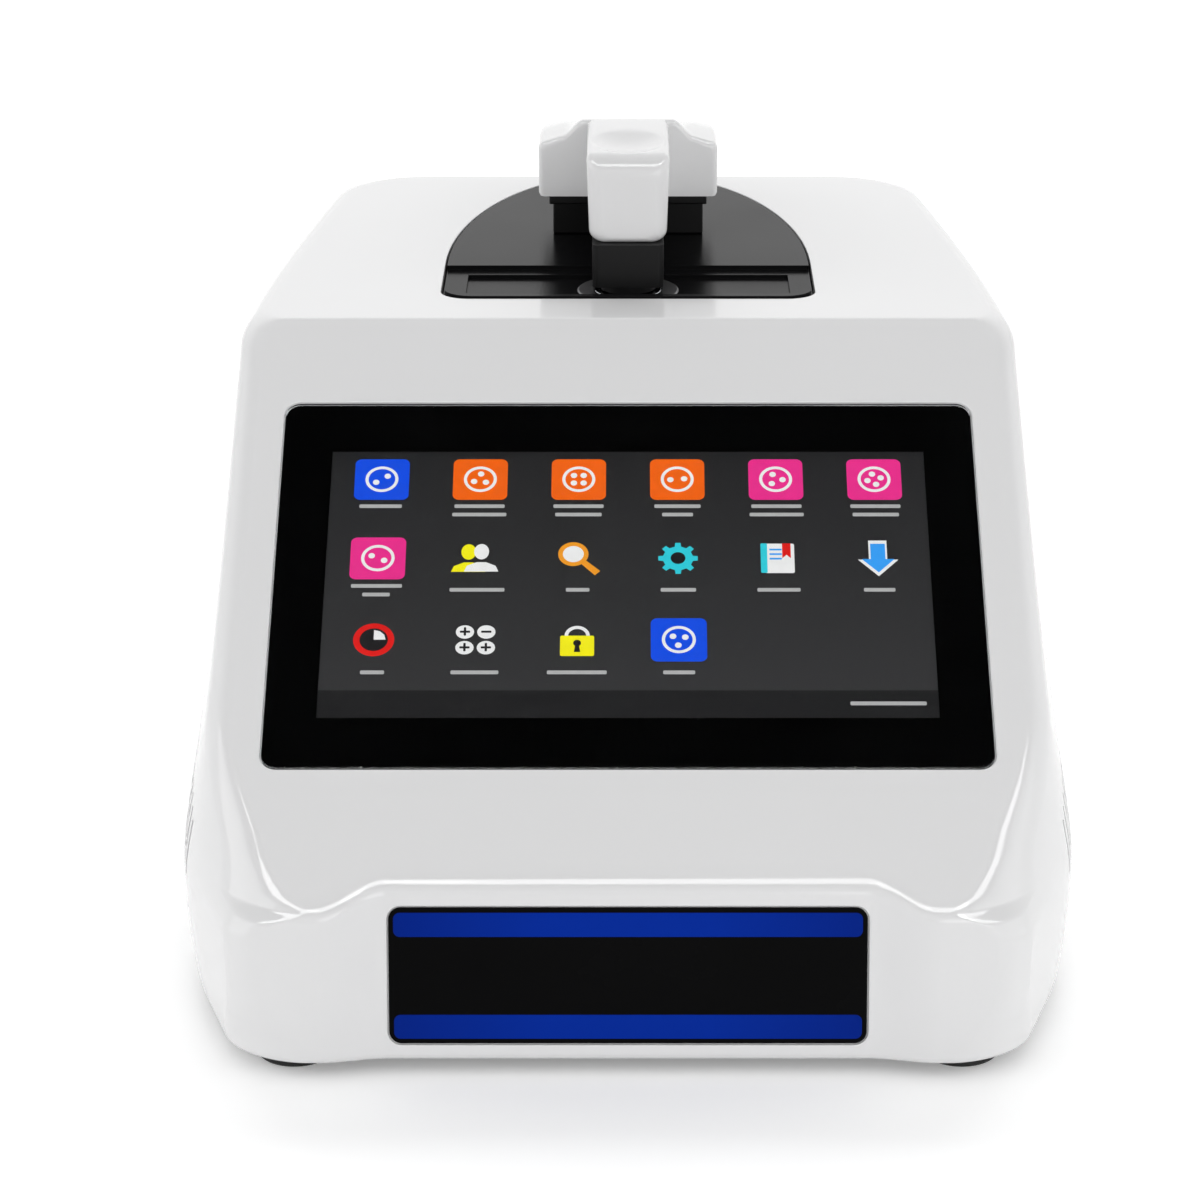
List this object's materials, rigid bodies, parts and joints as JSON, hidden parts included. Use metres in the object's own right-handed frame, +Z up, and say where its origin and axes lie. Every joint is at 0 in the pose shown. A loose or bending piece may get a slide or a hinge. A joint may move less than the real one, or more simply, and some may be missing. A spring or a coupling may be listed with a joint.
{
  "type": "automated cell counter",
  "caption": "Bench instrument with a sloped touch screen, a black sample stage and a lifting arm that holds the light over the sample window.",
  "frame": {"origin": "on the bench, under the middle of the instrument", "axes": "+X to the right, +Y to the rear, +Z up"},
  "size_m": [0.225, 0.3324, 0.1821],
  "materials": {
    "white_gloss": "gloss",
    "black_gloss": "satin gloss",
    "black_matte": "fine texture",
    "glass_cover": "polished",
    "screen_dark": "gloss",
    "ui_orange": "printed",
    "ui_magenta": "printed",
    "ui_blue": "printed",
    "ui_white": "printed",
    "ui_cyan": "printed",
    "label_black": "gloss",
    "label_blue": "gloss",
    "rubber_black": "matt",
    "steel": "turned",
    "aluminium": "machined",
    "brass": "turned",
    "optic_glass": "polished",
    "mirror": "polished",
    "dark_painted": "satin",
    "board_green": "solder mask",
    "led_yellow": "matt",
    "ribbon": "matt"
  },
  "bodies": {
    "housing": {"top_shell": "white_gloss", "base_tray": "black_matte", "rear_panel": "black_matte", "foot_front_left": "rubber_black", "foot_front_right": "rubber_black", "foot_rear_left": "rubber_black", "foot_rear_right": "rubber_black", "case_screws": "steel", "screen_glass": "glass_cover", "screen_mask": "black_matte", "display_panel": "screen_dark", "screen_frame": "steel", "display_ribbon": "ribbon", "arm_stop": "rubber_black", "ui_tiles_orange": "ui_orange", "ui_tiles_magenta": "ui_magenta", "ui_tiles_blue": "ui_blue", "ui_icons_white": "ui_white", "ui_icons_colour": "ui_cyan", "front_label": "label_black", "label_bands": "label_blue", "stage_plate": "black_gloss", "window_ring": "steel", "lower_window": "optic_glass", "hinge_tower": "black_gloss", "hinge_bush_left": "brass", "hinge_bush_right": "brass", "optical_bench": "aluminium", "guide_rod_left": "steel", "guide_rod_right": "steel", "screw_bearing": "brass", "focus_motor": "dark_painted", "fold_mirror": "mirror", "mirror_mount": "black_matte", "tube_lens": "black_matte", "camera_module": "dark_painted", "camera_bracket": "aluminium", "main_board": "board_green", "heat_sink": "aluminium", "board_posts": "brass", "usb_ports": "steel", "ethernet_port": "steel", "dc_inlet": "black_matte", "switch_bezel": "black_matte", "side_usb_port": "steel", "fan_frame": "black_matte"},
    "arm": {"arm_cover": "white_gloss", "arm_chassis": "black_gloss", "optics_column": "black_matte", "upper_window": "optic_glass", "led_module": "led_yellow", "condenser_lens": "optic_glass", "hinge_shaft": "steel"},
    "focus": {"focus_carriage": "black_matte", "objective": "brass"},
    "screw": {"lead_screw": "steel", "motor_coupling": "aluminium"},
    "fan": {"fan_rotor": "black_matte"},
    "rocker": {"power_rocker": "black_matte"}
  },
  "joints": [
    {"name": "arm_hinge", "type": "hinge", "parent": "housing", "child": "arm", "pos_m": [0, 0.12518, 0.161], "axis": [-1, 0, 0], "range_deg": [0, 60]},
    {"name": "lead_screw_spin", "type": "hinge", "parent": "housing", "child": "screw", "pos_m": [0, 0.07018, 0.06], "axis": [0, 0, 1], "range_deg": [-720, 720]},
    {"name": "focus_slide", "type": "slide", "parent": "housing", "child": "focus", "axis": [0, 0, 1], "range_m": [-0.004, 0.004]},
    {"name": "fan_spin", "type": "hinge", "parent": "housing", "child": "fan", "pos_m": [0.036, 0.15418, 0.047], "axis": [0, 1, 0], "continuous": true},
    {"name": "rocker_tilt", "type": "hinge", "parent": "housing", "child": "rocker", "pos_m": [-0.034, 0.16018, 0.03], "axis": [-1, 0, 0], "range_deg": [0, 12]}
  ],
  "couplings": [
    {"joint": "lead_screw_spin", "follows": "focus_slide", "rad_per_m": 3141.6}
  ]
}
